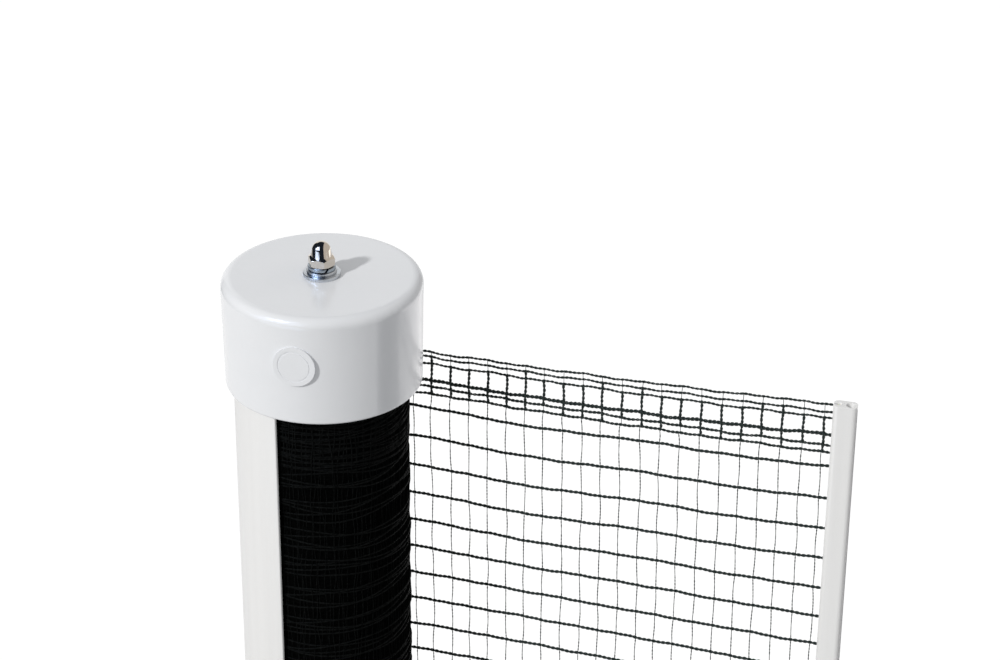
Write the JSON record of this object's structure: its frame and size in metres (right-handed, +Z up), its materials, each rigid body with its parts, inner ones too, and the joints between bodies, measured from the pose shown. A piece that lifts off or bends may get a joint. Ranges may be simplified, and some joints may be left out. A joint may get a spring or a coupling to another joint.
{
  "type": "table tennis net post with table clamp",
  "caption": "Clamp-on post that holds a table tennis net wound on a reel inside a half-open tube, with a domed nut on a round cap and a screw clamp below.",
  "frame": {"origin": "middle of the upper jaw pad's lower face, where it rests on the table top", "axes": "+Z up along the post, +X along the drawn-out net towards the middle of the table"},
  "size_m": [0.2071, 0.067, 0.2902],
  "materials": {
    "cap_plastic": "smooth cool-white moulding, slightly glossy",
    "shell_plastic": "matte warm-white tube",
    "net_cord": "near-black knotted cord",
    "chrome": "bright chrome",
    "zinc": "zinc-plated steel",
    "clamp_steel": "black powder coat",
    "nylon": "natural nylon",
    "rubber": "matte black rubber",
    "knob_plastic": "fine-grained black moulding",
    "bar_plastic": "white extrusion, satin",
    "aluminium": "plain drawn tube"
  },
  "bodies": {
    "post": {"top_cap": "cap_plastic", "bottom_cap": "cap_plastic", "housing_shell": "shell_plastic", "acorn_nut": "chrome", "top_lock_washer": "zinc", "top_spacer_washer": "zinc", "top_flat_washer": "zinc", "axle_rod": "zinc", "top_inner_washer": "zinc", "top_inner_nut": "zinc", "top_thrust_washer": "nylon", "drag_disc_spring": "zinc", "drag_washer": "nylon", "bottom_inner_nut": "zinc", "bottom_inner_washer": "zinc", "jaw_bracket": "clamp_steel", "base_bar": "clamp_steel", "bracket_screws": "zinc", "bottom_washer": "zinc", "bottom_lock_nut": "zinc", "jaw_pad": "rubber", "screw_boss": "zinc"},
    "reel": {"roller_tube": "aluminium", "roller_top_plug": "nylon", "roller_bottom_plug": "nylon", "roller_top_bush": "nylon", "roller_bottom_bush": "nylon", "net_anchor_strip": "nylon", "net_roll": "net_cord"},
    "pull_bar": {"end_bar": "bar_plastic", "keder_rod": "nylon", "net_sheet": "net_cord"},
    "foot": {"swivel_foot": "zinc", "foot_pad": "rubber", "foot_retaining_ring": "zinc"},
    "screw": {"clamp_screw": "zinc", "clamp_knob": "knob_plastic", "knob_insert": "zinc"}
  },
  "joints": [
    {"name": "roller_spin", "type": "hinge", "parent": "post", "child": "reel", "pos_m": [-0.059, 0, 0.07], "axis": [0, 0, 1], "range_deg": [0, 285.4]},
    {"name": "net_pull", "type": "slide", "parent": "post", "child": "pull_bar", "axis": [1, 0, 0], "range_m": [-0.144, 0], "deforming": ["net_sheet"]},
    {"name": "screw_feed", "type": "slide", "parent": "post", "child": "foot", "axis": [0, 0, 1], "range_m": [-0.004, 0.013]},
    {"name": "screw_turn", "type": "hinge", "parent": "foot", "child": "screw", "pos_m": [0, 0, -0.05], "axis": [0, 0, 1], "range_deg": [-1152.1, 3744.1]}
  ],
  "couplings": [
    {"joint": "net_pull", "follows": "roller_spin", "m_per_rad": -0.0289},
    {"joint": "screw_turn", "follows": "screw_feed", "rad_per_m": 5026.5}
  ]
}
